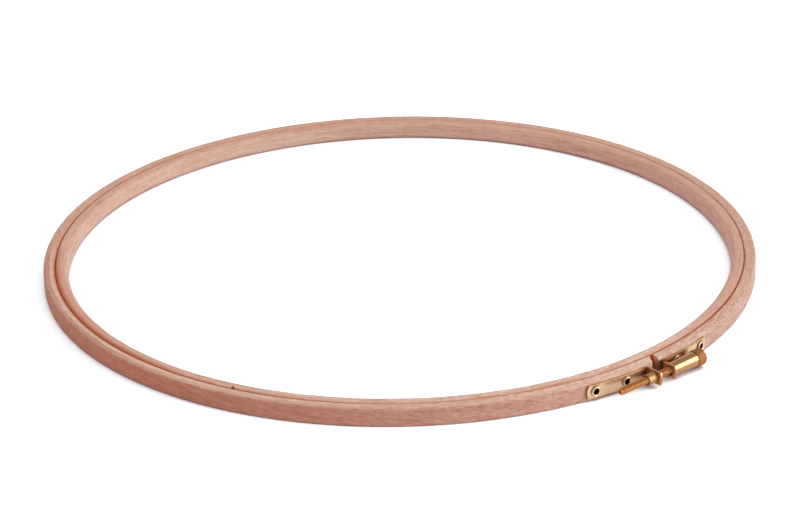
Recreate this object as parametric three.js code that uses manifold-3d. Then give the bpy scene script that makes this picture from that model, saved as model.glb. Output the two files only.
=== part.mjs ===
// Embroidery hoop: two bent beech rings, and a brass screw fitting that closes the outer one.
//
// Millimetres, +Z up. The hoop lies flat on z = 0. The outer ring's gap is at the front, towards -Y,
// and the screw runs along X. "Out" below is the distance from the rings' centre towards the front.

import * as THREE from "three";
import { mergeVertices } from "three/addons/utils/BufferGeometryUtils.js";
import Module from "manifold-3d";

const wasm = await Module();
wasm.setup();

// Rings
const hoopDiameter = 310; // outside of the inner ring, the size that the hoop is sold by
const ringHeight = 8;
const innerRingThickness = 5.6;
const outerRingThickness = 5;
const ringClearance = 0.3; // between the two rings, where the fabric goes
const innerRingEdgeRadius = 1.9; // on the inside of the inner ring
const outerRingEdgeRadius = 0.95; // on the outside of the outer ring
const matingEdgeRadius = 0.9; // on the two faces that grip the fabric
const sawGap = 3.5; // between the two ends of the outer ring, at its outer face
const leftEndLean = 3.4; // how much further right that end lies at the ring's mating face
const rightEndLean = 1.6;
const bendLineOffset = 10; // the outer ring springs open about a line this far left of the back
const bendLineWidth = 0.2;

// Nick at the tip of the inner ring's glued scarf joint, a triangle seen from above
const nickAngle = -66.9; // degrees from the front, positive to the right
const nickLength = 2; // along the ring's mating face
const nickReach = 2.1; // in from that face
const nickLean = 0.65; // how far its tip lies left of its middle
const nickDepth = 1.1;

// Brass brackets: a strip on the outer ring, turned out into an ear
const stripThickness = 0.8;
const stripWidth = 5.8;
const fittingRise = 0.2; // the fitting sits this much above the middle of the ring
const bendRadius = 0.5; // inside of the bend
const tipArcHeight = 0.8; // how far the rounded end stands out in its middle
const earReach = 9; // from the ring's outer face to the ear's rounded end
const leftEarInset = 3.25; // from the wood's end to the ear
const rightEarInset = 0.95;
const leftBendToEyelet = 11.8;
const rightBendToEyelet = 9.3;
const leftEyeletSpacing = 15.5;
const rightEyeletSpacing = 16.6;
const eyeletToTip = 4.2;
const earHoleDiameter = 3.6;

// Tubular rivets
const eyeletBoreDiameter = 2.7;
const eyeletShankDiameter = 3.4;
const eyeletFlangeDiameter = 4.7;
const eyeletFlangeHeight = 0.6;
const clenchDiameter = 4.6;
const clenchHeight = 0.6;
const clenchSetBack = 0.2; // the clenched end lies this deep under the wood's mating face
const rivetClearance = 0.15;

// Screw: a threaded rod in a long knob, and the threaded boss on the left ear
const screwOut = 4.9; // from the ring's outer face to the screw's axis
const rodDiameter = 3;
const rodTail = 15.3; // free end beyond the boss
const rodEndChamfer = 0.35;
const rodInKnob = 11;
const rodClearanceInKnob = 0.1;
const bossDiameter = 4.7;
const bossLength = 4.5;
const bossClearance = 0.2; // radial, for the rod's thread
const knobNeckDiameter = 5.5;
const knobShoulderDiameter = 6.5;
const knobBodyLength = 14;
const collarDiameter = 7.4;
const collarLength = 4.8;
const collarEndDiameter = 5.2;
const collarEndLength = 1.3; // length of the rounded end
const collarEdge = 0.3;
const slotWidth = 0.9;
const slotDepth = 1;
const slotAngle = 52; // degrees up from the screw's outer side

const seatClearance = 0.15; // between pieces that rest on each other

// Steps round the curved faces
const ringSteps = 96;
const screwSteps = 24;
const eyeletSteps = 16;
const edgeSteps = 3;
const arcSteps = 8;
const stripSteps = 12;

const innerRingOutside = hoopDiameter / 2;
const innerRingInside = innerRingOutside - innerRingThickness;
const outerRingInside = innerRingOutside + ringClearance;
const face = outerRingInside + outerRingThickness; // radius of the outer ring's outer face
const stripInside = face + seatClearance;
const stripOutside = stripInside + stripThickness;
const fittingHeight = ringHeight / 2 + fittingRise;
const centreY = earReach / 2; // puts the origin at the middle of the hoop with its ears
const screwY = centreY - face - screwOut;
const clear = 1; // how far a cutter runs past what it cuts

const leftEarX = -sawGap / 2 - leftEarInset; // gap side of the ear
const rightEarX = sawGap / 2 + rightEarInset;

const beech = new THREE.MeshStandardMaterial({ color: 0xcf9f86, roughness: 0.62, metalness: 0 });
const beechInner = new THREE.MeshStandardMaterial({ color: 0xd6a890, roughness: 0.62, metalness: 0 });
const brassSheet = new THREE.MeshStandardMaterial({ color: 0xd9b27c, roughness: 0.3, metalness: 1 });
const brassTurned = new THREE.MeshStandardMaterial({ color: 0xc79152, roughness: 0.25, metalness: 1 });
const brassThread = new THREE.MeshStandardMaterial({ color: 0xb4702d, roughness: 0.35, metalness: 1 });

function radians(degrees) {
  return (degrees * Math.PI) / 180;
}

// A closed geometry as a solid that can be cut and joined
function solidOf(geometry) {
  const bare = geometry.clone();
  bare.deleteAttribute("normal");
  bare.deleteAttribute("uv");
  const merged = mergeVertices(bare, 1e-4);
  return new wasm.Manifold(
    new wasm.Mesh({
      numProp: 3,
      vertProperties: new Float32Array(merged.attributes.position.array),
      triVerts: new Uint32Array(merged.index.array),
    }),
  );
}

function geometryOf(solid) {
  const mesh = solid.getMesh();
  const geometry = new THREE.BufferGeometry();
  geometry.setAttribute("position", new THREE.BufferAttribute(mesh.vertProperties, 3));
  geometry.setIndex(new THREE.BufferAttribute(mesh.triVerts, 1));
  geometry.computeVertexNormals();
  return geometry;
}

// Points of a quarter arc about (x, y), from the angle start, turning left by 90 degrees
function quarterArc(x, y, radius, start) {
  const points = [];
  for (let step = 0; step <= edgeSteps; step += 1) {
    const angle = radians(start + (90 * step) / edgeSteps);
    points.push(new THREE.Vector2(x + radius * Math.cos(angle), y + radius * Math.sin(angle)));
  }
  return points;
}

// A profile of points (radius, height) turned about the Z axis
function turned(profile, steps) {
  return new THREE.LatheGeometry(profile, steps).rotateX(Math.PI / 2);
}

// A flat ring of rounded rectangular section, its centre over (0, centreY)
function woodRing(inside, outside, insideEdge, outsideEdge) {
  const profile = [
    ...quarterArc(outside - outsideEdge, outsideEdge, outsideEdge, -90),
    ...quarterArc(outside - outsideEdge, ringHeight - outsideEdge, outsideEdge, 0),
    ...quarterArc(inside + insideEdge, ringHeight - insideEdge, insideEdge, 90),
    ...quarterArc(inside + insideEdge, insideEdge, insideEdge, 180),
  ];
  profile.push(profile[0].clone());
  return turned(profile, ringSteps).translate(0, centreY, 0);
}

// A straight prism on a plan outline of [x, y] points, from z = low to z = high
function prism(outline, low, high) {
  const shape = new THREE.Shape(outline.map(([x, y]) => new THREE.Vector2(x, y)));
  const geometry = new THREE.ExtrudeGeometry(shape, { depth: high - low, bevelEnabled: false });
  return geometry.translate(0, 0, low);
}

// Turns a geometry made at the front, where out is -Y, to an angle about the rings' centre.
// The angle is in radians, positive to the right.
function aroundRing(geometry, angle) {
  return geometry.translate(0, -centreY, 0).rotateZ(angle).translate(0, centreY, 0);
}

// Turns a profile of (radius, height out) points about the line that runs out from the centre at an angle
function outwards(profile, angle) {
  const geometry = turned(profile, eyeletSteps).rotateX(Math.PI / 2);
  return aroundRing(geometry.translate(0, centreY, fittingHeight), angle);
}

// Angle at which a point of the strip lies that is a given length from the ear, on the right-hand side
function stripAngle(earX, lengthFromEar) {
  return Math.asin(Math.abs(earX) / stripInside) + lengthFromEar / stripInside;
}

// The four rivets: on which side, and how far the first and second of each side are from the ear
const leftBendToOuter = leftBendToEyelet + leftEyeletSpacing;
const rightBendToOuter = rightBendToEyelet + rightEyeletSpacing;
const eyelets = [
  { name: "eyelet_left_inner", side: -1, angle: -stripAngle(leftEarX, leftBendToEyelet) },
  { name: "eyelet_left_outer", side: -1, angle: -stripAngle(leftEarX, leftBendToOuter) },
  { name: "eyelet_right_inner", side: 1, angle: stripAngle(rightEarX, rightBendToEyelet) },
  { name: "eyelet_right_outer", side: 1, angle: stripAngle(rightEarX, rightBendToOuter) },
];

// A cylinder cutter along the line out from the centre
function radialCutter(radius, from, to, angle) {
  const profile = [
    new THREE.Vector2(0, from),
    new THREE.Vector2(radius, from),
    new THREE.Vector2(radius, to),
    new THREE.Vector2(0, to),
  ];
  return solidOf(outwards(profile, angle));
}

function outerRingHalf(side) {
  const far = face + clear;
  const frontX = (side * sawGap) / 2;
  const slope = (side > 0 ? rightEndLean : leftEndLean) / outerRingThickness;
  const insideX = frontX + slope * (outerRingThickness + clear);
  const backX = -bendLineOffset + (side * bendLineWidth) / 2;
  const outline = [
    [frontX - slope * clear, centreY - far],
    [side * far, centreY - far],
    [side * far, centreY + far],
    [backX, centreY + far],
    [backX, centreY],
    [insideX, centreY],
    [insideX, centreY - outerRingInside + clear],
  ];
  const region = prism(side > 0 ? outline : outline.reverse(), -clear, ringHeight + clear);
  let wood = solidOf(woodRing(outerRingInside, face, matingEdgeRadius, outerRingEdgeRadius));
  wood = wood.intersect(solidOf(region));
  const holeRadius = eyeletShankDiameter / 2 + rivetClearance;
  const sinkRadius = clenchDiameter / 2 + rivetClearance;
  const sinkFloor = outerRingInside + clenchSetBack + clenchHeight + rivetClearance;
  for (const eyelet of eyelets.filter((each) => each.side === side)) {
    wood = wood.subtract(radialCutter(holeRadius, outerRingInside - clear, face + clear, eyelet.angle));
    wood = wood.subtract(radialCutter(sinkRadius, outerRingInside - clear, sinkFloor, eyelet.angle));
  }
  return geometryOf(wood);
}

function innerRing() {
  const wood = solidOf(woodRing(innerRingInside, innerRingOutside, innerRingEdgeRadius, matingEdgeRadius));
  const mating = centreY - innerRingOutside;
  const half = nickLength / 2;
  const outline = [
    [-half, mating - clear],
    [half, mating - clear],
    [half, mating],
    [-nickLean, mating + nickReach],
    [-half, mating],
  ];
  const nick = prism(outline, ringHeight - nickDepth, ringHeight + clear);
  return geometryOf(wood.subtract(solidOf(aroundRing(nick, radians(nickAngle)))));
}

// What is cut off the end of a strip to leave its rounded end: the outline lies in the XY plane, the strip
// comes from -X, and the middle of its end is at the origin
function endCutter(depth) {
  const half = stripWidth / 2;
  const radius = (half * half + tipArcHeight * tipArcHeight) / (2 * tipArcHeight);
  const reach = Math.asin(half / radius);
  const outline = [];
  for (let step = 0; step <= arcSteps; step += 1) {
    const angle = reach - (2 * reach * step) / arcSteps;
    outline.push([radius * Math.cos(angle) - radius, radius * Math.sin(angle)]);
  }
  outline[0] = [-tipArcHeight, half];
  outline[arcSteps] = [-tipArcHeight, -half];
  const side = half + clear;
  outline.push([-tipArcHeight, -side], [clear, -side], [clear, side], [-tipArcHeight, side]);
  return prism(outline.reverse(), -depth, depth);
}

// The bracket on the right side, seen from above: an ear that stands out from the ring, square to the
// screw, a bend, and a strip that follows the ring's face
function bracketOutline(earX, tipAngle) {
  const bendOutside = bendRadius + stripThickness;
  const bendX = earX + bendOutside;
  const bendOut = Math.sqrt((stripInside + bendOutside) ** 2 - bendX ** 2);
  const bendAngle = Math.asin(bendX / (stripInside + bendOutside));
  const earEnd = face + earReach;
  const points = [[earX, earEnd]];
  // Round the outside of the bend, then along the inside of the strip
  for (let step = 0; step <= arcSteps; step += 1) {
    const turn = ((Math.PI / 2 - bendAngle) * step) / arcSteps;
    points.push([bendX - bendOutside * Math.cos(turn), bendOut - bendOutside * Math.sin(turn)]);
  }
  for (let step = 1; step <= stripSteps; step += 1) {
    const angle = bendAngle + ((tipAngle - bendAngle) * step) / stripSteps;
    points.push([stripInside * Math.sin(angle), stripInside * Math.cos(angle)]);
  }
  // Back along the outside of the strip, and round the inside of the bend
  for (let step = stripSteps; step >= 1; step -= 1) {
    const angle = bendAngle + ((tipAngle - bendAngle) * step) / stripSteps;
    points.push([stripOutside * Math.sin(angle), stripOutside * Math.cos(angle)]);
  }
  for (let step = arcSteps; step >= 0; step -= 1) {
    const turn = ((Math.PI / 2 - bendAngle) * step) / arcSteps;
    points.push([bendX - bendRadius * Math.cos(turn), bendOut - bendRadius * Math.sin(turn)]);
  }
  points.push([earX + stripThickness, earEnd]);
  return points.map(([x, out]) => [x, centreY - out]);
}

function bracket(side, earX, bendToEyelet, eyeletSpacing) {
  const earOffset = Math.abs(earX);
  const tipAngle = stripAngle(earX, bendToEyelet + eyeletSpacing + eyeletToTip);
  const outline = bracketOutline(earOffset, tipAngle);
  const low = fittingHeight - stripWidth / 2;
  let sheet = solidOf(prism(outline, low, low + stripWidth));
  // Rounded end of the strip
  const tip = endCutter(2 * stripThickness).rotateX(Math.PI / 2);
  tip.translate(0, centreY - stripInside, fittingHeight);
  sheet = sheet.subtract(solidOf(aroundRing(tip, tipAngle)));
  // Rounded end of the ear
  const earEnd = endCutter(2 * stripThickness).rotateX(Math.PI / 2).rotateZ(-Math.PI / 2);
  sheet = sheet.subtract(solidOf(earEnd.translate(earOffset, centreY - face - earReach, fittingHeight)));
  // The screw's hole
  const holeRadius = earHoleDiameter / 2;
  const screwHole = new THREE.CylinderGeometry(holeRadius, holeRadius, 4 * stripThickness, screwSteps);
  screwHole.rotateZ(Math.PI / 2).translate(earOffset, screwY, fittingHeight);
  sheet = sheet.subtract(solidOf(screwHole));
  for (const along of [bendToEyelet, bendToEyelet + eyeletSpacing]) {
    const radius = eyeletShankDiameter / 2 + rivetClearance;
    const angle = stripAngle(earX, along);
    sheet = sheet.subtract(radialCutter(radius, stripInside - clear, stripOutside + clear, angle));
  }
  if (side < 0) {
    sheet = sheet.mirror([1, 0, 0]);
  }
  return geometryOf(sheet);
}

// A tubular rivet: a rolled flange over the strip, a shank through strip and wood, and a clenched end
function eyelet(angle) {
  const bore = eyeletBoreDiameter / 2;
  const shank = eyeletShankDiameter / 2;
  const flange = eyeletFlangeDiameter / 2;
  const clench = clenchDiameter / 2;
  const seat = stripOutside + seatClearance;
  const top = seat + eyeletFlangeHeight;
  const end = outerRingInside + clenchSetBack;
  const roll = eyeletFlangeHeight / 2;
  const profile = [
    new THREE.Vector2(bore + roll, end),
    new THREE.Vector2(clench, end + clenchHeight / 2),
    new THREE.Vector2(clench, end + clenchHeight),
    new THREE.Vector2(shank, end + clenchHeight),
    new THREE.Vector2(shank, seat),
    new THREE.Vector2(flange, seat),
    new THREE.Vector2(flange, seat + roll),
    new THREE.Vector2(flange - roll, top),
    new THREE.Vector2(bore + roll, top),
    new THREE.Vector2(bore, top - roll),
    new THREE.Vector2(bore, end + roll),
    new THREE.Vector2(bore + roll, end),
  ];
  return geometryOf(solidOf(outwards(profile, angle)));
}

// A profile of (radius, x) points turned about the screw's axis
function onScrewAxis(profile) {
  const geometry = new THREE.LatheGeometry(profile, screwSteps).rotateZ(-Math.PI / 2);
  return geometry.translate(0, screwY, fittingHeight);
}

const bossRight = leftEarX - stripThickness - seatClearance;
const bossLeft = bossRight - bossLength;
const knobLeft = rightEarX + stripThickness + seatClearance;

function threadedBoss() {
  const outside = bossDiameter / 2;
  const bore = rodDiameter / 2 + bossClearance;
  return onScrewAxis([
    new THREE.Vector2(bore, bossLeft),
    new THREE.Vector2(outside, bossLeft),
    new THREE.Vector2(outside, bossRight),
    new THREE.Vector2(bore, bossRight),
    new THREE.Vector2(bore, bossLeft),
  ]);
}

function screwRod() {
  const radius = rodDiameter / 2;
  const left = bossLeft - rodTail;
  const right = knobLeft + rodInKnob;
  return onScrewAxis([
    new THREE.Vector2(0, left),
    new THREE.Vector2(radius - rodEndChamfer, left),
    new THREE.Vector2(radius, left + rodEndChamfer),
    new THREE.Vector2(radius, right),
    new THREE.Vector2(0, right),
  ]);
}

function screwKnob() {
  const bore = rodDiameter / 2 + rodClearanceInKnob;
  const boreEnd = knobLeft + rodInKnob + seatClearance;
  const shoulder = knobLeft + knobBodyLength;
  const end = shoulder + collarLength;
  const collar = collarDiameter / 2;
  const endRadius = collarEndDiameter / 2;
  const profile = [
    new THREE.Vector2(0, boreEnd),
    new THREE.Vector2(bore, boreEnd),
    new THREE.Vector2(bore, knobLeft),
    new THREE.Vector2(knobNeckDiameter / 2, knobLeft),
    new THREE.Vector2(knobShoulderDiameter / 2, shoulder),
    new THREE.Vector2(collar - collarEdge, shoulder),
    new THREE.Vector2(collar, shoulder + collarEdge),
  ];
  // The rounded end is a quarter of an ellipse
  for (let step = 0; step <= edgeSteps; step += 1) {
    const turn = (Math.PI / 2) * (step / edgeSteps);
    const radius = endRadius + (collar - endRadius) * Math.cos(turn);
    profile.push(new THREE.Vector2(radius, end - collarEndLength + collarEndLength * Math.sin(turn)));
  }
  profile.push(new THREE.Vector2(0, end));
  const slot = new THREE.BoxGeometry(2 * slotDepth, collarDiameter + clear, slotWidth);
  slot.rotateX(-radians(slotAngle)).translate(end, screwY, fittingHeight);
  return geometryOf(solidOf(onScrewAxis(profile)).subtract(solidOf(slot)));
}

function named(name, geometry, material) {
  const mesh = new THREE.Mesh(geometry, material);
  mesh.name = name;
  return mesh;
}

const hoop = new THREE.Group();
hoop.name = "embroidery_hoop";

const outerRing = new THREE.Group();
outerRing.add(named("outer_ring_right", outerRingHalf(1), beech));
outerRing.add(named("outer_ring_left", outerRingHalf(-1), beech));
const rightBracket = bracket(1, rightEarX, rightBendToEyelet, rightEyeletSpacing);
const leftBracket = bracket(-1, leftEarX, leftBendToEyelet, leftEyeletSpacing);
outerRing.add(named("right_bracket", rightBracket, brassSheet));
outerRing.add(named("left_bracket", leftBracket, brassSheet));
for (const each of eyelets) {
  outerRing.add(named(each.name, eyelet(each.angle), brassSheet));
}
outerRing.add(named("threaded_boss", threadedBoss(), brassTurned));
hoop.add(outerRing);

hoop.add(named("inner_ring", innerRing(), beechInner));

const screw = new THREE.Group();
screw.add(named("screw_rod", screwRod(), brassThread));
screw.add(named("screw_knob", screwKnob(), brassTurned));
hoop.add(screw);

export default hoop;
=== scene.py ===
"""Embroidery hoop: two bent beech rings, and the brass screw fitting that closes the outer one.

Metres, +Z up. The hoop lies flat on z = 0. The outer ring's gap is at the front, towards -Y, and the
screw runs along X. Angles about the hoop's centre are from the front, positive to the right, and "out"
is the distance from that centre.
"""

import math

import bmesh
import bpy
import numpy as np
from mathutils import Matrix, Vector


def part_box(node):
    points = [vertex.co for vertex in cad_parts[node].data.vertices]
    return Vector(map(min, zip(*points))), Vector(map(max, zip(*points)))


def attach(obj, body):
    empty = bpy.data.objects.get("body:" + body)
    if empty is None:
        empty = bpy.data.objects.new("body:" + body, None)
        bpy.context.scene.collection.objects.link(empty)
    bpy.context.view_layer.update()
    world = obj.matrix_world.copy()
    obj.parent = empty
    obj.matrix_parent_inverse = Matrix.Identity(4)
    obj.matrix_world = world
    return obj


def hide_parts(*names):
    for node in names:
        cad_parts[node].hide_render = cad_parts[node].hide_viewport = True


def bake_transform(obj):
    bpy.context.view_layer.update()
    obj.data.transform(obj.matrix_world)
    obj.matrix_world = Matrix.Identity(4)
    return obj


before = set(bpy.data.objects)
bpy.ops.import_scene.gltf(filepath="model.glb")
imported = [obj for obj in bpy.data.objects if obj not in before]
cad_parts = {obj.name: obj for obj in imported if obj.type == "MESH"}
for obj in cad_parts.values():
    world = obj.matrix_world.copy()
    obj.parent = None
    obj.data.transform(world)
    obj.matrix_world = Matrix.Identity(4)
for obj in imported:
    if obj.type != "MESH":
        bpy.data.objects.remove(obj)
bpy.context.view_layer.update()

MM = 0.001

# Places and sizes that the frame gives
inner_low, inner_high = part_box("inner_ring")
ring_height = inner_high.z
centre_y = (inner_low.y + inner_high.y) / 2
inner_outside = (inner_high.x - inner_low.x) / 2
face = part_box("outer_ring_right")[1].x
rod_low, rod_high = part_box("screw_rod")
screw_y = (rod_low.y + rod_high.y) / 2
screw_z = (rod_low.z + rod_high.z) / 2
rod_radius = (rod_high.z - rod_low.z) / 2
knob_low, knob_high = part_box("screw_knob")
boss_low, boss_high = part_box("threaded_boss")
ear_end = centre_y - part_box("right_bracket")[0].y

# Rings, which lie closer together than their solids do
ring_clearance = 0.12 * MM
inner_thickness = 5.6 * MM
inner_inside = inner_outside - inner_thickness
outer_inside = inner_outside + ring_clearance
inner_edge = 1.9 * MM
outer_edge = 0.95 * MM
mating_edge = 0.9 * MM
edge_unevenness = 0.16
saw_gap = 3.5 * MM
left_end_lean = 3.4 * MM
right_end_lean = 1.6 * MM
lean_reach = 9 * MM
right_end_unevenness = 0.06 * MM
chip_reach = 3.5 * MM
end_edge = 0.35 * MM

# Glued scarf joint of the inner ring
scarf_angle = math.radians(-67.3)
scarf_length = 26 * MM
scarf_ease = 60 * MM

# Nick at the joint's tip, seen from above: its corners' places along the ring, how far in from the
# mating face they lie, and their depths, in millimetres
nick_angle = math.radians(-66.9)
nick_along = [-1, -1.02, -0.92, -0.65, -0.3, 0.4, 0.95, 1]
nick_inwards = [-0.6, 0.5, 1.1, 2.1, 1.5, 0.75, 0.1, -0.6]
nick_depth = [1.2, 1.1, 0.95, 0.55, 0.8, 1, 1.15, 1.2]

# Where shade is painted on the wood, in degrees from the front: the middle of the wide patch of painted
# warm shade on the mating edge and its reach each way, and places round the ring with how strongly
# shade is painted in the groove between the rings there
wide_stain, wide_stain_reach = -103, 34
groove_places = [-180, -120, -85, -60, -45, -15, -3, 3, 25, 42, 60, 140, 180]
groove_strengths = [0.5, 0.8, 0.9, 0.7, 0.35, 0.6, 0.5, 1, 0.95, 0.3, 0, 0.1, 0.5]

# Where painted shade lies on the outer ring's top along its outer half, standing in for a bevel there,
# and where a painted highlight lies along that half's inner edge: the middle of each stretch and its
# reach each way, in degrees
rubbed_stretch, rubbed_reach = -108, 32
pale_stretch, pale_reach = -90, 50

# Brackets
strip_thickness = 0.8 * MM
strip_width = 5.8 * MM
strip_edge = 0.08 * MM
seat_clearance = 0.15 * MM
strip_inside = face + seat_clearance
bend_radius = 0.5 * MM
tip_arc_height = 0.8 * MM
eyelet_to_tip = 4.2 * MM
ear_hole_radius = 1.8 * MM
ear_hole_slack = 0.3 * MM

# Rivets
rivet_names = ["eyelet_left_inner", "eyelet_left_outer", "eyelet_right_inner", "eyelet_right_outer"]
eyelet_bore = 1.35 * MM
eyelet_shank = 1.7 * MM
eyelet_flange = 2.35 * MM
eyelet_height = 0.6 * MM
rivet_seat = strip_inside + strip_thickness + seat_clearance
clench_radius = 2.3 * MM
clench_height = 0.6 * MM
clench_set_back = 0.2 * MM
hole_clearance = 0.15 * MM
flange_lift = 0.12 * MM

# Screw
thread_pitch = 0.5 * MM
thread_depth = 0.22 * MM
thread_steps = 8
rod_end_chamfer = 0.35 * MM
boss_clearance = 0.2 * MM
boss_edge = 0.22 * MM
boss_mouth = 0.35 * MM
knob_clearance = 0.1 * MM
knob_end_clearance = 0.15 * MM
knob_mouth = 0.2 * MM
knob_neck = 2.75 * MM
knob_neck_edge = 0.25 * MM
knob_shoulder = 3.25 * MM
knob_body_length = 14 * MM
collar_radius = 3.7 * MM
collar_end_radius = 2.6 * MM
collar_end_length = 1.3 * MM
collar_edge = 0.3 * MM
collar_groove = 0.14 * MM
slot_width = 0.9 * MM
slot_depth = 1.0 * MM
slot_angle = math.radians(52)

# Floor, sky and the lamp from the right front
floor_reach = 6.0
floor_height = -0.02 * MM
floor_colour = (0.84, 0.80, 0.82)
diffuse_sky = (0.71, 0.71, 0.71)
reflected_sky = (0.44, 0.41, 0.38)
camera_gain = (1.86, 2.19, 2.22)
reflection_gain = (1.22, 1.22, 1.22)
covered_gain = (0.42, 0.34, 0.36)
shadow_reach = 4.5 * MM
lamp_azimuth, lamp_elevation = 37, 23
lamp_distance, lamp_size, lamp_power = 4, 3, 104

# The photograph's camera
camera_azimuth, camera_elevation, camera_roll = -40.62, 24.59, -1.18
camera_distance = 1181.6 * MM
camera_aim = Vector((-3.62 * MM, -0.23 * MM, 0))
camera_lens = 117.38

RNG = np.random.default_rng(11)


# Mesh making


def arc(centre_a, centre_b, radius, start, end, steps):
    """Points (a, b) at equal angles, in degrees, on a circle about a centre."""
    angles = np.radians(np.linspace(start, end, steps + 1))
    return np.stack([centre_a + radius * np.cos(angles), centre_b + radius * np.sin(angles)], -1)


def add_object(name, data):
    made = bpy.data.objects.new(name, data)
    bpy.context.scene.collection.objects.link(made)
    return made


def surface(name, points, wrap_rows=False):
    """A mesh whose vertices are a grid of points, rows by columns, with a quad between each four.

    The columns close on themselves, and so do the rows where wrap_rows says so. A row that lies on one
    point is a pole, and its vertices are merged.
    """
    rows, columns = points.shape[:2]
    row, column = np.indices((rows if wrap_rows else rows - 1, columns))
    below, right = (row + 1) % rows, (column + 1) % columns
    corners = [(row, column), (below, column), (below, right), (row, right)]
    faces = np.stack([r * columns + c for r, c in corners], -1).reshape(-1, 4)
    mesh = bpy.data.meshes.new(name)
    mesh.from_pydata(points.reshape(-1, 3), [], faces)
    shell = bmesh.new()
    shell.from_mesh(mesh)
    bmesh.ops.remove_doubles(shell, verts=shell.verts, dist=0.0005 * MM)
    bmesh.ops.recalc_face_normals(shell, faces=shell.faces)
    shell.to_mesh(mesh)
    shell.free()
    return add_object(name, mesh)


def turned(name, profile, origin, axis, steps, wrap=False):
    """A profile of (radius, distance along the axis) points, carried round the axis.

    Each point is origin + axis * along + radius * (cos t * side + sin t * up), where t runs round the axis.
    """
    radius, along = np.asarray(profile).T[..., None, None]
    turn = np.linspace(0, 2 * math.pi, steps, endpoint=False)[:, None]
    axis = Vector(axis).normalized()
    side = axis.cross(Vector((0, 0, 1))).normalized()
    up = side.cross(axis)
    side, up, axis, origin = (np.array(v) for v in (side, up, axis, origin))
    points = origin + along * axis + radius * (np.cos(turn) * side + np.sin(turn) * up)
    return surface(name, points, wrap)


def cut(piece, *cutters):
    """Takes the cutters' shapes out of a piece, with the result in the piece's own mesh."""
    for cutter in cutters:
        modifier = piece.modifiers.new("cut", "BOOLEAN")
        modifier.operation = "DIFFERENCE"
        modifier.solver = "EXACT"
        modifier.object = cutter
    graph = bpy.context.evaluated_depsgraph_get()
    finished = bpy.data.meshes.new_from_object(piece.evaluated_get(graph))
    piece.modifiers.clear()
    piece.data = finished
    for cutter in cutters:
        bpy.data.objects.remove(cutter)


def finish_piece(piece, material, sharp_angle=32):
    """Smooth shading with its sharp edges kept, and the piece's material and slot."""
    piece.data.shade_smooth()
    piece.data.set_sharp_from_angle(angle=math.radians(sharp_angle))
    piece.data.materials.clear()
    piece.data.materials.append(material)


def read(items, key, kind=np.float32, width=1):
    """What each of a mesh's items says under a key, with a row each where it says several numbers."""
    values = np.empty(len(items) * width, kind)
    items.foreach_get(key, values)
    return values.reshape(-1, width) if width > 1 else values


def places(mesh):
    """The places of a mesh's vertices, a row each."""
    return read(mesh.vertices, "co", width=3)


def faces_of(mesh):
    """The number of corners, the normal and the middle of each face."""
    faces = mesh.polygons
    sizes = read(faces, "loop_total", np.int32)
    return sizes, read(faces, "normal", width=3), read(faces, "center", width=3)


def mark(piece, domain="POINT", **marks):
    """Gives a piece's vertices, or its faces' corners, numbers that its material is painted by."""
    for name, values in marks.items():
        attribute = piece.data.attributes.new(name, "FLOAT", domain)
        attribute.data.foreach_set("value", np.asarray(values, np.float32))


def from_axis(piece, origin, axis):
    """How far a piece's vertices lie along an axis and from it, in millimetres."""
    axis = np.array(Vector(axis).normalized())
    place = (places(piece.data) - np.array(origin)) / MM
    along = place @ axis
    return along, np.linalg.norm(place - along[:, None] * axis, axis=1)


def smoothstep(value, zero, one):
    """0 up to one value, 1 from another on, and a smooth change between, in either direction."""
    t = np.clip((value - zero) / (one - zero), 0, 1)
    return t * t * (3 - 2 * t)


def wobble(angle, waves, highest):
    """A sum of sines of whole numbers of waves round the ring, with random phases, about -1 to 1."""
    counts = RNG.integers(2, highest, waves)
    phases = RNG.uniform(0, 2 * math.pi, waves)
    weights = RNG.uniform(0.4, 1, waves)
    weights = weights / weights.sum()
    return (weights * np.sin(np.asarray(angle)[..., None] * counts + phases)).sum(-1)


# Wooden rings


def around(out, angle, height):
    """Points at a distance out from the centre, an angle from the front and a height."""
    return np.stack([out * np.sin(angle), centre_y - out * np.cos(angle), height], -1)


def ring_section(inside, outside, inside_edge, outside_edge, angle):
    """The outline of a ring's section at each angle, as (out, height): a rectangle with rounded edges.

    Each corner is a quarter circle whose radius varies a little round the ring, and each side has points
    near its ends and in its middle, so that its flat shades flat.
    """
    corners = [
        (outside, 0, outside_edge, -90),
        (outside, ring_height, outside_edge, 0),
        (inside, ring_height, inside_edge, 90),
        (inside, 0, inside_edge, 180),
    ]
    quarter = np.radians(np.linspace(0, 90, 8))
    arcs = []
    for out, height, edge, start in corners:
        radius = edge * (1 + edge_unevenness * wobble(angle, 9, 60))[:, None]
        towards_out = -1 if out == outside else 1
        towards_up = -1 if height else 1
        turn = math.radians(start) + quarter
        across = out + towards_out * radius + radius * np.cos(turn)
        up = height + towards_up * radius + radius * np.sin(turn)
        arcs.append(np.stack([across, up], -1))
    outline = []
    for corner, following in zip(arcs, arcs[1:] + arcs[:1]):
        outline.append(corner)
        for share in (0.05, 0.5, 0.95):
            outline.append(corner[:, -1:] * (1 - share) + following[:, :1] * share)
    return np.concatenate(outline, 1)


def end_chip(out, height):
    """How far the left end is chipped back: a notch in its top edge, with a ragged break, in metres."""
    across = (out - outer_inside) / MM
    below_top = (ring_height - height) / MM
    notch = smoothstep(across, 2.3, 2.8) * smoothstep(across, 4.1, 3.4) * smoothstep(below_top, 1.5, 0.8)
    ragged = 0.09 * np.sin(across * 3.9 + 0.6) + 0.07 * np.sin(below_top * 6.1 + across * 1.7)
    return (0.55 * notch + np.abs(ragged) * smoothstep(below_top, 3, 1)) * MM


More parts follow.
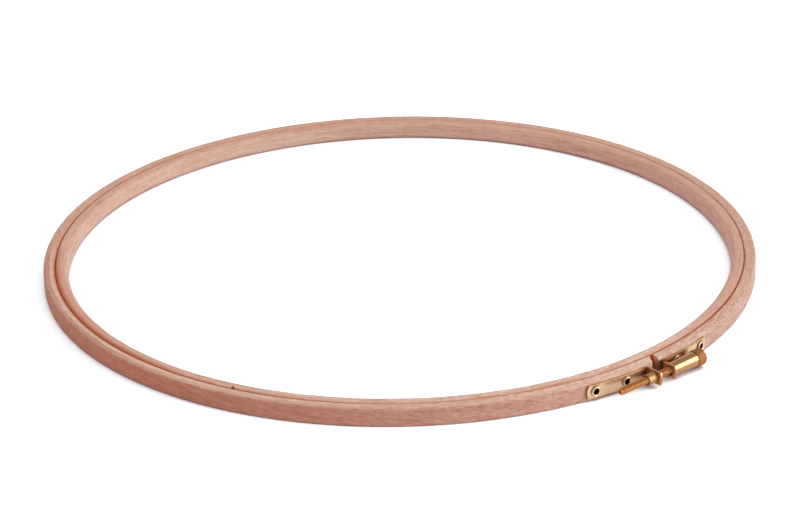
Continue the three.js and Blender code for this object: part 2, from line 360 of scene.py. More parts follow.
def outer_ring():
    """The split ring: its section carried from wood end to wood end, with both ends closed.

    Rows run from the middle of the right end's face, out to its edge, round the edge, along the ring and
    back in over the left end's face. Both end planes lean to the right towards the mating face, so the
    angle of a point near an end depends on how far out it is.
    """
    thickness = face - outer_inside
    middle_out = (outer_inside + face) / 2
    end_angle = math.asin(saw_gap / 2 / middle_out)
    shrink = np.array([0, 0.08, 0.16, 0.24, 0.32, 0.4, 0.48, 0.56, 0.64, 0.72, 0.8, 0.87, 0.94])
    rounding = np.array([0, 0.02, 0.06, 0.13, 0.22, 0.35]) * MM
    near = np.array([0.6, 0.9, 1.3, 1.8, 2.4, 3.1, 3.9]) * MM
    from_end = np.concatenate([0 * shrink, rounding, near])
    rounded = end_edge - np.sqrt(end_edge**2 - (end_edge - rounding) ** 2)
    inset = np.concatenate([0 * shrink + end_edge, rounded, 0 * near])
    scale = np.concatenate([shrink, 0 * rounding + 1, 0 * near + 1])
    first = end_angle + from_end / middle_out
    long_run = np.linspace(first[-1], 2 * math.pi - first[-1], 760)[1:-1]
    angle = np.concatenate([first, long_run, 2 * math.pi - first[::-1]])
    inset = np.concatenate([inset, 0 * long_run, inset[::-1]])[:, None]
    scale = np.concatenate([scale, 0 * long_run + 1, scale[::-1]])[:, None]

    section = ring_section(outer_inside, face, mating_edge, outer_edge, angle)
    half = np.array([thickness / 2, ring_height / 2])
    middle = np.array([middle_out, ring_height / 2])
    section = middle + (section - middle) * (1 - inset[..., None] / half) * scale[..., None]
    out, height = section[..., 0], section[..., 1]

    base = angle[:, None] + 0 * out
    right = base < math.pi
    to_end = np.where(right, base - end_angle, 2 * math.pi - end_angle - base) * middle_out
    lean = np.where(right, right_end_lean, -left_end_lean) * (face - out) / thickness
    plane = np.arcsin((saw_gap / 2 + lean) / out) - end_angle
    waves = right_end_unevenness * np.sin(height / MM * 2.1)
    chip = np.where(right, waves, end_chip(out, height)) / out
    shift = plane * smoothstep(to_end, lean_reach, 0) + chip * smoothstep(to_end, chip_reach, 0)
    base = base + np.where(right, shift, -shift)
    ring = surface("beech_outer_ring", around(out, base, height))

    sink = clench_radius + hole_clearance
    sink_floor = outer_inside + clench_set_back + clench_height + hole_clearance
    hole = eyelet_shank + hole_clearance
    profile = [
        (0, outer_inside - MM),
        (sink, outer_inside - MM),
        (sink, sink_floor),
        (hole, sink_floor),
        (hole, face + MM),
        (0, face + MM),
    ]
    cut(ring, *[on_rivet("hole", profile, name, 40) for name in rivet_names])
    mark_wood(ring, 0, 0)
    return ring


def scarf_slant(out, from_seam):
    """How far, in radians, a column of the inner ring leans from the radial line near its scarf joint."""
    lean = scarf_length * (inner_outside - out) / inner_thickness / inner_outside
    return lean * (1 - smoothstep(np.abs(from_seam) * inner_outside, 0, scarf_ease))


def inner_ring():
    """The closed ring: its section carried once round, from the scarf joint back to it.

    The columns lean along the joint where it is, so that the joint is a line of edges.
    """
    close = np.arange(-4, 5, 0.4) * MM / inner_outside
    rest = np.linspace(close[-1], 2 * math.pi + close[0], 740)[1:-1]
    from_seam = np.concatenate([close, rest])
    section = ring_section(inner_inside, inner_outside, inner_edge, mating_edge, from_seam)
    out, height = section[..., 0], section[..., 1]
    wrapped = (from_seam + math.pi) % (2 * math.pi) - math.pi
    angle = scarf_angle + from_seam[:, None] + scarf_slant(out, wrapped[:, None])
    ring = surface("beech_inner_ring", around(out, angle, height), wrap_rows=True)

    # The nick's cutter stands on a floor that rises towards the nick's tip
    along, inwards, depth = np.array([nick_along, nick_inwards, nick_depth]) * MM
    plan_angle, plan_out = nick_angle + along / inner_outside, inner_outside - inwards
    floor_row = around(plan_out, plan_angle, ring_height - depth)
    top_row = around(plan_out, plan_angle, ring_height + MM + 0 * depth)
    ends = [np.broadcast_to(row.mean(0), row.shape) for row in (floor_row, top_row)]
    cut(ring, surface("nick", np.stack([ends[0], floor_row, top_row, ends[1]])))
    mark_wood(ring, scarf_angle, 1)
    return ring


def mark_wood(ring, seam, slanted):
    """Gives a ring the attributes that its wood is painted by, at each corner of each face.

    grain: the place in the straight strip that the ring was bent from, in millimetres: along, out, up.
    side: 1 where the face looks in or out, 0 where it looks up or down.
    cut: 1 on end grain. nick: 1 in the nick. glue: distance from the scarf joint, in millimetres.
    clean: 1 in the paler wood by the gap, falling to 0 away from it. ruddy: 0 by the gap, rising
    to 1 on the left and less elsewhere, where the outer face is redder wood, on the left partly painted
    shade.
    stain and groove: how strongly painted warm shade lies on the mating edge and in the groove
    between the rings. rubbed: 1 where painted shade lies on the top's outer half, standing in for a
    bevel. arris: 1 where a painted highlight lies along that half's inner edge. fair: 1
    right of the gap, where the outer face is less pink and the inner face is painted lighter. corner: 1
    where painted shade lies in the corner between the gap and the right ear.
    """
    mesh = ring.data
    place = places(mesh)[read(mesh.loops, "vertex_index", np.int32)]
    sizes, normal, middle = faces_of(mesh)
    owner = np.repeat(np.arange(len(sizes)), sizes)

    def polar(points):
        x, y = points[:, 0], centre_y - points[:, 1]
        out = np.hypot(x, y)
        angle = np.arctan2(x, y) - seam
        wrapped = (angle + math.pi) % (2 * math.pi) - math.pi
        return out, wrapped, wrapped - slanted * scarf_slant(out, wrapped)

    out, angle, leaning = polar(place)
    face_out, face_angle, face_leaning = polar(middle)
    turns = np.where(face_leaning < 0, 2 * math.pi, 0)
    step = (angle - face_angle[owner] + math.pi) % (2 * math.pi) - math.pi
    along = (face_angle + turns)[owner] + step
    grain = (np.stack([along * inner_outside, out, place[:, 2]], -1) / MM).astype(np.float32)

    radial = np.stack([np.sin(face_angle + seam), -np.cos(face_angle + seam)], -1)
    side = np.abs((normal[:, :2] * radial).sum(-1))
    along_ring = np.abs(-normal[:, 0] * radial[:, 1] + normal[:, 1] * radial[:, 0])
    beyond_out = np.clip(face_out - inner_outside + mating_edge, 0, None)
    beyond_up = np.clip(middle[:, 2] - ring_height + mating_edge, 0, None)
    under_edge = mating_edge - np.hypot(beyond_out, beyond_up)
    under = np.minimum(under_edge, np.minimum(inner_outside - face_out, ring_height - middle[:, 2]))
    from_nick = np.abs(face_angle + seam - nick_angle) * inner_outside
    near_nick = (from_nick < 1.5 * MM) & (face_out > inner_outside - 2.5 * MM)
    near_nick = near_nick & (middle[:, 2] > ring_height - 1.5 * MM) & (slanted > 0)
    in_nick = near_nick & (under > 0.1 * MM)
    glue = np.abs(leaning) * inner_outside / MM * inner_thickness / scarf_length
    from_gap = np.degrees((angle + seam + math.pi) % (2 * math.pi) - math.pi)
    clean_left, clean_right = (-100, 32) if slanted else (-60, 50)
    clean = smoothstep(from_gap, clean_left, -10) * smoothstep(from_gap, clean_right, 2)
    clean = clean * (1 - 0.2 * (from_gap > 0))
    # Painted warm shade on the mating edge, in a wide patch on the left
    stain = smoothstep(np.abs(from_gap - wide_stain), wide_stain_reach, wide_stain_reach * 0.45)
    # How strongly warm shade is painted in the groove between the rings, round the ring
    groove = np.interp(from_gap, groove_places, groove_strengths)
    # Painted shade on the outer ring's top along its outer half, standing in for a bevel there
    rubbed = smoothstep(np.abs(from_gap - rubbed_stretch), rubbed_reach, rubbed_reach * 0.5)

    # Redder wood on the outer face, on the left partly painted shade, where the face looks away from the
    # lamp
    ruddy = smoothstep(from_gap, -10, -90) * smoothstep(from_gap, -180, -140)
    ruddy = np.maximum(ruddy, 0.4 * smoothstep(np.abs(from_gap), 20, 70))

    # Painted shade in the corner between the gap and the right ear
    ear_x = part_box("right_bracket")[0].x
    corner = smoothstep(place[:, 0], ear_x + 2.5 * MM, ear_x + 0.8 * MM)
    corner = corner * (from_gap > 0) * (from_gap < 90)
    corner = corner * smoothstep(out, face - 1.3 * MM, face - 0.5 * MM)
    corner = corner * smoothstep(place[:, 2], ring_height - 0.5 * MM, ring_height - 1.3 * MM)

    mesh.attributes.new("grain", "FLOAT_VECTOR", "CORNER").data.foreach_set("vector", grain.ravel())
    mark(
        ring,
        "CORNER",
        side=side[owner],
        cut=(along_ring > 0.7)[owner] & ~in_nick[owner],
        nick=in_nick[owner],
        glue=np.clip(glue, 0, 5) + 5 * (1 - slanted),
        clean=clean,
        ruddy=ruddy,
        stain=stain,
        groove=groove,
        rubbed=rubbed,
        # A painted highlight along the inner edge of the shaded outer half of the top
        arris=smoothstep(np.abs(from_gap - pale_stretch), pale_reach, pale_reach * 0.6),
        # Right of the gap: a less pink outer face, and painted light on the inner face
        fair=smoothstep(from_gap, -12, 14) * smoothstep(from_gap, 155, 110),
        corner=corner * (1 - slanted),
    )


# Brackets


def bracket_path(ear_x, tip_angle):
    """The middle line of the sheet seen from above, as (x, out) points with their normals and distances.

    It comes in along the ear, turns through the bend, and follows the ring to the strip's tip. Points lie
    close together near both ends, which are rounded.
    """
    radius = bend_radius + strip_thickness / 2
    bend_x = ear_x + strip_thickness + bend_radius
    strip_middle = strip_inside + strip_thickness / 2
    bend_centre = strip_inside + strip_thickness + bend_radius
    bend_out = math.sqrt(bend_centre**2 - bend_x**2)
    bend_angle = math.asin(bend_x / bend_centre)
    fine = np.array([0, 0.01, 0.04, 0.09, 0.16, 0.25, 0.36, 0.49, 0.64, 0.8, 0.95, 1.2]) * MM
    ear_out = np.concatenate([ear_end - fine, np.linspace(ear_end - fine[-1], bend_out, 10)[1:]])
    ear = np.stack([0 * ear_out + ear_x + strip_thickness / 2, ear_out], -1)
    ear_normal = np.stack([0 * ear_out + 1, 0 * ear_out], -1)
    turn = np.linspace(0, math.pi / 2 - bend_angle, 12)[1:]
    bend = np.stack([bend_x - radius * np.cos(turn), bend_out - radius * np.sin(turn)], -1)
    bend_normal = np.stack([np.cos(turn), np.sin(turn)], -1)
    fine_angles = tip_angle - fine / strip_middle
    angles = np.concatenate([np.linspace(bend_angle, fine_angles[-1], 70)[1:-1], fine_angles[::-1]])
    strip = np.stack([strip_middle * np.sin(angles), strip_middle * np.cos(angles)], -1)
    strip_normal = np.stack([np.sin(angles), np.cos(angles)], -1)
    path = np.concatenate([ear, bend, strip])
    normal = np.concatenate([ear_normal, bend_normal, strip_normal])
    steps = np.linalg.norm(np.diff(path, axis=0), axis=1)
    return path, normal, np.concatenate([[0], np.cumsum(steps)])


def bracket(name, side):
    """One bent strip of brass: a flat section with rounded edges, carried along the path seen from above.

    Towards each end the section narrows along an arc, which makes the end's rounded outline.
    """
    low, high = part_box(name.replace("brass_", ""))
    ear_x = low.x if side > 0 else -high.x
    inner, outer = [n for n in rivet_names if ("right" in n) == (side > 0)]
    tip_angle = abs(rivet_angle(outer)) + eyelet_to_tip / strip_inside
    path, normal, distance = bracket_path(ear_x, tip_angle)

    from_end = np.minimum(distance, distance[-1] - distance)
    half = strip_width / 2
    end_radius = (half**2 + tip_arc_height**2) / (2 * tip_arc_height)
    reach = np.clip(from_end, 0, tip_arc_height)
    half_width = np.minimum(np.sqrt(end_radius**2 - (end_radius - reach) ** 2), half)
    rounding = np.clip(strip_edge - from_end, 0, None)
    inset = strip_edge - np.sqrt(strip_edge**2 - rounding**2)
    half_thickness = strip_thickness / 2 - inset

    corners = [(1, 1, 0), (-1, 1, 90), (-1, -1, 180), (1, -1, 270)]
    quarter = np.linspace(0, 90, 5)
    across, up = [], []
    for along_normal, along_z, start in corners:
        turn = np.radians(start + quarter)
        edge = np.minimum(strip_edge, half_width)[:, None]
        across.append(along_normal * (half_thickness[:, None] - edge) + edge * np.cos(turn))
        up.append(along_z * (half_width[:, None] - edge) + edge * np.sin(turn))
    across = np.clip(np.concatenate(across, 1), -half_thickness[:, None], half_thickness[:, None])
    up = np.concatenate(up, 1)
    x = path[:, :1] + normal[:, :1] * across
    out = path[:, 1:] + normal[:, 1:] * across
    sheet = surface(name, np.stack([side * x, centre_y - out, screw_z + up], -1))

    clear = 2 * strip_thickness
    ear_middle = side * (ear_x + strip_thickness / 2)
    slack = ear_hole_slack if side > 0 else 0
    radius = ear_hole_radius + slack
    hole = [(0, -clear), (radius, -clear), (radius, clear), (0, clear)]
    hole_middle = (ear_middle, screw_y - slack, screw_z - slack / 2)
    cutters = [turned("hole", hole, hole_middle, (1, 0, 0), 48)]
    shank = eyelet_shank + hole_clearance
    low_end, high_end = strip_inside - MM, rivet_seat + MM
    hole = [(0, low_end), (shank, low_end), (shank, high_end), (0, high_end)]
    cutters += [on_rivet("hole", hole, rivet_name, 40) for rivet_name in (inner, outer)]
    cut(sheet, *cutters)

    place = places(sheet.data)
    out = np.hypot(place[:, 0], place[:, 1] - centre_y)
    off_strip = (out - strip_inside - strip_thickness) / MM
    from_ear = (side * place[:, 0] - ear_x) / MM
    # Painted shade on the ear and on the strip near the bend, and on the right strip out to its inner rivet
    bent = smoothstep(from_ear, 6, 1.5)
    if side > 0:
        bent = np.maximum(bent, 0.6 * smoothstep(from_ear, 15, 14))
    bent = np.where(off_strip > 1, 0.7, bent)
    mark(sheet, across=place[:, 2] / MM, strip=smoothstep(off_strip, 0.5, 0.2), bent=bent)
    darken_recesses(sheet, side, ear_x)
    return sheet


def darken_recesses(sheet, side, ear_x):
    """Marks painted shade as dark: the ear's hole and root, the strip's holes and tip, the corner behind
    the ear.

    The ear's hole is the faces close to the screw's axis that look at it, and its root fades out away
    from the ring. The strip's holes and tip are the faces that look along it. The corner fades out along
    the strip.
    """
    sizes, normal, middle = faces_of(sheet.data)
    from_screw = middle[:, 1:] - (screw_y, screw_z)
    close = np.linalg.norm(from_screw, axis=1) < ear_hole_radius + 2.3 * ear_hole_slack
    wall = close & (np.abs(normal[:, 0]) < 0.3)
    from_centre = middle[:, :2] - (0, centre_y)
    out = np.linalg.norm(from_centre, axis=1)
    along_strip = np.abs(normal[:, 0] * from_centre[:, 1] - normal[:, 1] * from_centre[:, 0]) / out
    tip = (along_strip > 0.7) & (out < strip_inside + strip_thickness + 0.05 * MM)
    from_ear = (side * middle[:, 0] - ear_x) / MM
    beside_ear = from_ear > strip_thickness / MM + 0.05
    corner = smoothstep(from_ear, 3.4, 1.2) * beside_ear
    root = smoothstep(out, face + 3.4 * MM, face + 0.7 * MM) * ~beside_ear
    root = root * (0.65 if side > 0 else 0.4)
    dark = np.max([0.85 * wall, 0.7 * tip, 0.5 * corner, root], axis=0)
    mark(sheet, "CORNER", dark=np.repeat(dark, sizes))


# Rivets


def rivet_angle(name):
    """The angle of a rivet's axis: the middle of its CAD node's vertices lies on that axis."""
    x, y = places(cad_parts[name].data)[:, :2].mean(0)
    return math.atan2(x, centre_y - y)


def rivet_axis(name):
    angle = rivet_angle(name)
    return math.sin(angle), -math.cos(angle), 0


def on_rivet(name, profile, rivet, steps, wrap=False):
    """A profile of (radius, out) points, turned about a rivet's axis."""
    return turned(name, profile, (0, centre_y, screw_z), rivet_axis(rivet), steps, wrap)


def rivet(name):
    """A tubular rivet: a flange rolled over like half a ring, a bore with a lip, and a clenched end."""
    top = rivet_seat + eyelet_height
    end = outer_inside + clench_set_back
    roll = (eyelet_flange - eyelet_bore) / 2
    wall = eyelet_shank - eyelet_bore
    crown = arc((eyelet_flange + eyelet_bore) / 2, 0, roll, 0, 180, 14)
    crown[:, 1] = rivet_seat + flange_lift + crown[:, 1] * (eyelet_height - flange_lift) / roll
    clench = arc(clench_radius - wall, end + clench_height / 2, clench_height / 2, -90, 90, 8)
    profile = np.concatenate(
        [
            [(eyelet_shank, end + clench_height), (eyelet_shank, rivet_seat - 0.02 * MM)],
            [(eyelet_flange - 0.1 * MM, rivet_seat)],
            crown,
            [(eyelet_bore, top - 0.75 * MM), (eyelet_bore, top - 1.2 * MM), (eyelet_bore, end + 0.9 * MM)],
            [(eyelet_bore + 0.12 * MM, end + 0.4 * MM), (eyelet_bore + 0.4 * MM, end + 0.08 * MM)],
            clench,
        ]
    )
    tube = on_rivet("brass_" + name.replace("eyelet", "rivet"), profile, name, 64, wrap=True)
    along, radius = from_axis(tube, (0, centre_y, screw_z), rivet_axis(name))
    # Painted shade in the bore, and half as dark round the flange's rim
    in_bore = smoothstep(radius, eyelet_bore / MM + 0.1, eyelet_bore / MM + 0.02)
    in_bore = in_bore * smoothstep(along, top / MM - 0.35, top / MM - 0.8)
    rim = smoothstep(radius, eyelet_flange / MM - 0.3, eyelet_flange / MM - 0.05)
    mark(tube, across=along - radius, dark=np.maximum(in_bore, 0.5 * rim))
    return tube


# Screw


def on_screw(name, profile, steps, wrap=False):
    """A profile of (radius, x) points, turned about the screw's axis."""
    return turned(name, profile, (0, screw_y, screw_z), (1, 0, 0), steps, wrap)


def boss():
    """The threaded boss: a short tube, turned, with rounded edges and a chamfer at each mouth."""
    left, right = boss_low.x, boss_high.x
    radius = (boss_high.z - boss_low.z) / 2
    bore = rod_radius + boss_clearance
    mouth = bore + boss_mouth
    right_edge = boss_edge / 2
    profile = np.concatenate(
        [
            [(bore, left + boss_mouth), (mouth, left)],
            arc(radius - boss_edge, left + boss_edge, boss_edge, -90, 0, 5),
            arc(radius - right_edge, right - right_edge, right_edge, 0, 90, 4),
            [(mouth, right), (bore, right - boss_mouth)],
        ]
    )
    nut = on_screw("brass_threaded_boss", profile, 72, wrap=True)
    along, distance = from_axis(nut, (0, screw_y, screw_z), (1, 0, 0))
    mouth_shade = smoothstep(along, left / MM + 0.4, left / MM) * smoothstep(distance, 2.1, 1.7)
    mark(nut, across=along - distance, dark=0.85 * mouth_shade)
    return nut


def rod():
    """The threaded rod: a tube whose radius falls from the thread's crest to its root and back.

    The place in the thread is x over the pitch less the turn, so it climbs one pitch a turn, right-handed.
    At both ends the radius is held under a 45 degree cone, and the end is closed.
    """
    left, right = rod_low.x, rod_high.x
    threaded = knob_low.x + MM
    rows = int((threaded - left) / thread_pitch * thread_steps)
    x = np.concatenate([np.linspace(left, threaded, rows), np.linspace(threaded, right, 8)[1:]])
    turn = np.linspace(0, 2 * math.pi, 40, endpoint=False)
    place = (x[:, None] / thread_pitch - turn / (2 * math.pi)) % 1
    valley = np.clip(2.2 * (1 - 2 * np.abs(place - 0.5)) - 0.6, 0, 1)
    radius = rod_radius - thread_depth * valley * (x[:, None] < threaded)
    end_cone = rod_radius - rod_end_chamfer + np.minimum(x - left, right - x)
    radius = np.minimum(radius, end_cone[:, None])
    shrink = np.array([0, 0.5, 0.85])[:, None]
    radius = np.concatenate([radius[:1] * shrink, radius, radius[-1:] * shrink[::-1]])
    x = np.concatenate([[left] * 3, x, [right] * 3])[:, None] + 0 * radius
    points = np.stack([x, screw_y + radius * np.cos(turn), screw_z + radius * np.sin(turn)], -1)
    thread = surface("brass_rod", points)
    along, distance = from_axis(thread, (0, screw_y, screw_z), (1, 0, 0))
    # Painted shade in the thread's valleys and at the middle of the rod's end
    below_crest = (rod_radius / MM - distance) * (along < threaded / MM) * (along > left / MM + 0.5)
    valleys = 0.75 * smoothstep(below_crest, 0.05, thread_depth / MM)
    tip = smoothstep(along, left / MM + 0.1, left / MM) * smoothstep(distance, 1.0, 0.6)
    mark(thread, across=along - distance, dark=np.maximum(valleys, 0.85 * tip))
    return thread


def knob():
    """The knob: a long cone with a rounded neck, a collar with a rounded end, and a screwdriver slot."""
    left, right = knob_low.x, knob_high.x
    shoulder = left + knob_body_length
    bore = rod_radius + knob_clearance
    blind = rod_high.x + knob_end_clearance
    end_turn = np.radians(np.linspace(0, 90, 12))
    end_radius = collar_end_radius + (collar_radius - collar_end_radius) * np.cos(end_turn)
    end_x = right - collar_end_length + collar_end_length * np.sin(end_turn)
    groove_radius = knob_shoulder - collar_groove
    profile = np.concatenate(
        [
            [(0, blind), (bore, blind), (bore, left + knob_mouth), (bore + knob_mouth, left)],
            arc(knob_neck - knob_neck_edge, left + knob_neck_edge, knob_neck_edge, -90, -4, 5),
            [(knob_shoulder - 0.02 * MM, shoulder - 0.3 * MM)],
            [(groove_radius, shoulder - 0.12 * MM), (groove_radius, shoulder)],
            arc(collar_radius - collar_edge, shoulder + collar_edge, collar_edge, -90, 0, 6),
            np.stack([end_radius, end_x], -1),
            [(collar_end_radius * 0.6, right), (0, right)],
        ]
    )
    piece = on_screw("brass_knob", profile, 128)
    across = collar_radius + MM
    half = slot_width / 2
    outline = np.array([(-across, -half), (across, -half), (across, half), (-across, half)])
    cosine, sine = math.cos(slot_angle), math.sin(slot_angle)
    turned_outline = outline @ np.array([(-cosine, sine), (sine, cosine)])
    rows = []
    for x, scale in ((right - slot_depth, 0), (right - slot_depth, 1), (right + MM, 1), (right + MM, 0)):
        y, z = turned_outline.T * scale
        rows.append(np.stack([0 * y + x, screw_y + y, screw_z + z], -1))
    cut(piece, surface("slot", np.array(rows)))
    along, distance = from_axis(piece, (0, screw_y, screw_z), (1, 0, 0))
    collar = smoothstep(along, shoulder / MM - 0.05, shoulder / MM + 0.1)
    # Painted shade in the groove at the shoulder, and on the neck's end, which shows through the ear's hole
    in_groove = smoothstep(np.abs(along - shoulder / MM + 0.1), 0.2, 0.1) * (distance < knob_shoulder / MM)
    neck_end = smoothstep(along, left / MM + 0.12, left / MM + 0.04) * smoothstep(distance, 2.6, 2.2)
    mark(piece, across=along - distance, dull=collar, dark=np.maximum(0.5 * in_groove, 0.9 * neck_end))
    return piece


# Materials


class Number:
    """What a node gives: a number, or a vector or colour. Arithmetic on numbers adds Math nodes."""

    def __init__(self, paint, socket):
        self.paint = paint
        self.socket = socket

    def math(self, operation, first, second):
        sockets = {"Value": first, "Value_001": second}
        return self.paint.node("ShaderNodeMath", {"operation": operation}, sockets)

    def __add__(self, other):
        return self.math("ADD", self, other)

    __radd__ = __add__

    def __sub__(self, other):
        return self.math("SUBTRACT", self, other)

    def __rsub__(self, other):
        return self.math("SUBTRACT", other, self)

    def __mul__(self, other):
        return self.math("MULTIPLY", self, other)

    __rmul__ = __mul__


class Paint:
    """The node tree of a material or a world, while it is being made."""

    def __init__(self, owner):
        owner.use_nodes = True
        self.tree = owner.node_tree
        self.tree.nodes.clear()

    def node(self, kind, settings, sockets, output=None):
        """Adds a node with its settings and its sockets' values or links, and gives its named output.

        Without a name it gives the first output, and an output node has none.
        """
        made = self.tree.nodes.new(kind)
        for name, value in settings.items():
            setattr(made, name, value)
        for key, value in sockets.items():
            socket = next(s for s in made.inputs if key in (s.identifier, s.name))
            if isinstance(value, Number):
                self.tree.links.new(value.socket, socket)
            else:
                socket.default_value = value
        outputs = [s for s in made.outputs if output in (None, s.identifier, s.name)]
        return Number(self, outputs[0] if outputs else None)

    def attribute(self, name, output="Fac"):
        return self.node("ShaderNodeAttribute", {"attribute_name": name}, {}, output)

    def ray(self, kind):
        return self.node("ShaderNodeLightPath", {}, {}, f"Is {kind} Ray")

    def part(self, vector, letter):
        return self.node("ShaderNodeSeparateXYZ", {}, {"Vector": vector}, letter)

    def vector_math(self, operation, first, second):
        sockets = {"Vector": first, "Vector_001": second}
        return self.node("ShaderNodeVectorMath", {"operation": operation}, sockets)

    def scaled(self, vector, along, across, up):
        """A vector whose parts are divided by a feature's size in each direction."""
        return self.vector_math("MULTIPLY", vector, (1 / along, 1 / across, 1 / up))

    def noise(self, vector, detail=2.0, roughness=0.5):
        sockets = {"Vector": vector, "Scale": 1.0, "Detail": detail, "Roughness": roughness}
        return self.node("ShaderNodeTexNoise", {}, sockets)

    def spots(self, vector, output):
        return self.node("ShaderNodeTexVoronoi", {}, {"Vector": vector, "Scale": 1.0}, output)

    def rise(self, value, low, high):
        """A smooth rise from 0 at low to 1 at high. It falls instead where low is above high."""
        sockets = {"Value": value, "From Min": low, "From Max": high}
        return self.node("ShaderNodeMapRange", {"interpolation_type": "SMOOTHSTEP"}, sockets)

    def mix(self, amount, first, second):
        """A colour between two, given as three numbers each or as sockets."""
        sockets = {"Factor_Float": amount}
        for key, colour in (("A_Color", first), ("B_Color", second)):
            sockets[key] = colour if isinstance(colour, Number) else (*colour, 1)
        return self.node("ShaderNodeMix", {"data_type": "RGBA"}, sockets, "Result_Color")

    def tint(self, amount, colour, factors):
        """A colour multiplied by three factors, as far as an amount from 0 to 1 says."""
        return self.vector_math("MULTIPLY", colour, self.mix(amount, (1, 1, 1), factors))

    def bump(self, height, distance):
        return self.node("ShaderNodeBump", {}, {"Height": height, "Strength": 1.0, "Distance": distance})

    def surface(self, shader):
        self.node("ShaderNodeOutputMaterial", {}, {"Surface": shader})


def principled(paint, sockets):
    paint.surface(paint.node("ShaderNodeBsdfPrincipled", {}, sockets))


def beech(name, warm, pale, red, slope, outwards, stain_ends, groove_ends):
    """Steamed beech: soft bands along the strip, fibres, short ray flecks, and darker end grain.

    The grain crosses the strip at a slope. The outer face is redder, on the left partly as painted shade,
    and the wood near the gap paler and more strongly figured. Painted warm shade lies orange on the mating
    edge and darker in the groove between the rings. Each of these two grows from the first to the second of
    its two distances from the mating face, in millimetres, and ends a little way down that face. There is
    also painted shade on the outer ring's top along its outer half, a painted highlight along that half's
    inner edge, painted light on the inner face right of the gap, and painted shade in the corner by the
    right ear.
    outwards is 1 for the outer ring, which lies outside its mating face, and -1 for the inner one.
    """
    material = bpy.data.materials.new(name)
    paint = Paint(material)
    grain = paint.attribute("grain", "Vector")
    marks = ("side", "cut", "nick", "glue", "clean", "ruddy", "stain", "groove", "rubbed", "fair")
    side, end, nick, glue, clean, ruddy, stain, groove, rubbed, fair = map(paint.attribute, marks)
    along, out, up = (paint.part(grain, letter) for letter in "XYZ")
    from_face = face / MM - out
    from_inside = out - inner_inside / MM
    from_mating = outwards * (out - inner_outside / MM)
    from_middle = up - ring_height / MM / 2
    sloping = {"X": along, "Y": out + slope * along, "Z": up + slope * along}
    fibre_place = paint.node("ShaderNodeCombineXYZ", {}, sloping)

    bands = paint.noise(paint.scaled(fibre_place, 150, 1.9, 2.4), 2)
    fibres = paint.noise(paint.scaled(fibre_place, 14, 0.42, 0.42), 3, 0.6)
    mottle = paint.noise(paint.scaled(fibre_place, 6, 1.0, 0.8), 2, 0.6)
    patches = paint.noise(paint.scaled(grain, 42, 9, 9), 1)
    fleck_place = paint.scaled(fibre_place, 3.8, 0.55, 0.7)
    fleck = paint.rise(paint.spots(fleck_place, "Distance"), 0.5, 0.15)
    chosen = paint.part(paint.spots(fleck_place, "Color"), "X")
    pale_fleck = fleck * paint.rise(chosen, 0.5, 0.7)
    dark_fleck = fleck * paint.rise(chosen, 0.3, 0.16)

    top = 1 - side
    colour = paint.mix(paint.rise(bands, 0.3, 0.72), warm, pale)
    colour = paint.mix(paint.rise(mottle, 0.45, 0.72) * (0.35 + 0.2 * side + 0.2 * clean), colour, red)
    colour = paint.tint(paint.rise(fibres, 0.48, 0.7) * (0.7 + 0.7 * clean), colour, (0.79, 0.60, 0.50))
    colour = paint.tint(paint.rise(fibres, 0.5, 0.28), colour, (1.12, 1.2, 1.25))
    colour = paint.mix(paint.rise(patches, 0.35, 0.7) * 0.3, colour, pale)
    colour = paint.mix(pale_fleck * (0.3 + 0.3 * clean - 0.2 * side), colour, (0.82, 0.66, 0.58))
    colour = paint.mix(dark_fleck * (0.45 + 0.5 * clean), colour, (0.50, 0.19, 0.11))
    outward = paint.rise(from_face, 1.7, 0.2) * side
    inward = paint.rise(from_inside, 2.6, 1.6) * side
    colour = paint.tint(outward, colour, (0.90, 0.90, 0.95))
    # Redder outer face, on the left partly painted shade
    colour = paint.tint(outward * ruddy, colour, (0.94, 0.63, 0.53))
    # Right of the gap the outer face is less pink
    colour = paint.tint(outward * fair, colour, (0.94, 1.09, 1.14))
    colour = paint.tint(inward, colour, (0.92, 1.08, 1.14))
    # Painted light on the inner face right of the gap
    colour = paint.tint(inward * fair, colour, (1.2, 1.05, 1.05))
    colour = paint.tint(clean * top, colour, (1.2, 1.4, 1.5))
    # Painted shade on the outer half of the outer ring's top, standing in for a bevel
    colour = paint.tint(paint.rise(from_face, 2.9, 2.2) * rubbed * top, colour, (0.84, 0.73, 0.71))
    # A painted highlight along that half's inner edge
    arris = paint.rise(from_face, 4.3, 3.7) * paint.rise(from_face, 2.3, 3.1) * paint.attribute("arris")
    colour = paint.tint(arris * top, colour, (1.12, 1.26, 1.32))
    near_edge = paint.rise(from_middle * from_middle, 5, 9.5)
    # Painted warm shade on the mating edge beside the groove
    stained = paint.rise(from_mating, *stain_ends) * stain * near_edge
    colour = paint.mix(stained, colour, (0.55, 0.155, 0.075))
    # Painted warm shade, darker, in the groove between the rings
    grooved = paint.rise(from_mating, *groove_ends) * groove * near_edge
    colour = paint.mix(grooved, colour, (0.50, 0.135, 0.055))
    colour = paint.mix(paint.rise(glue, 0.22, 0.05) * 0.45, colour, (0.30, 0.13, 0.07))
    pores = paint.noise(paint.scaled(grain, 4, 0.3, 0.5), 3, 0.7)
    end_colour = paint.mix(paint.rise(pores, 0.35, 0.7), (0.48, 0.15, 0.075), (0.66, 0.28, 0.19))
    end_colour = paint.tint(paint.rise(up, 4.8, 6.8), end_colour, (1.45, 1.6, 1.75))
    colour = paint.mix(end * 0.95, colour, end_colour)
    colour = paint.mix(nick, colour, (0.42, 0.16, 0.105))
    # Painted shade in the corner between the gap and the right ear
    colour = paint.mix(paint.attribute("corner") * 0.7, colour, (0.11, 0.03, 0.012))

    height = fibres * 0.6 + mottle * 0.25 + pale_fleck * 0.15
    principled(
        paint,
        {
            "Base Color": colour,
            "Roughness": 0.5 + 0.2 * fibres,
            "Specular IOR Level": 0.3,
            "Normal": paint.bump(height, 0.035 * MM),
        },
    )
    return material


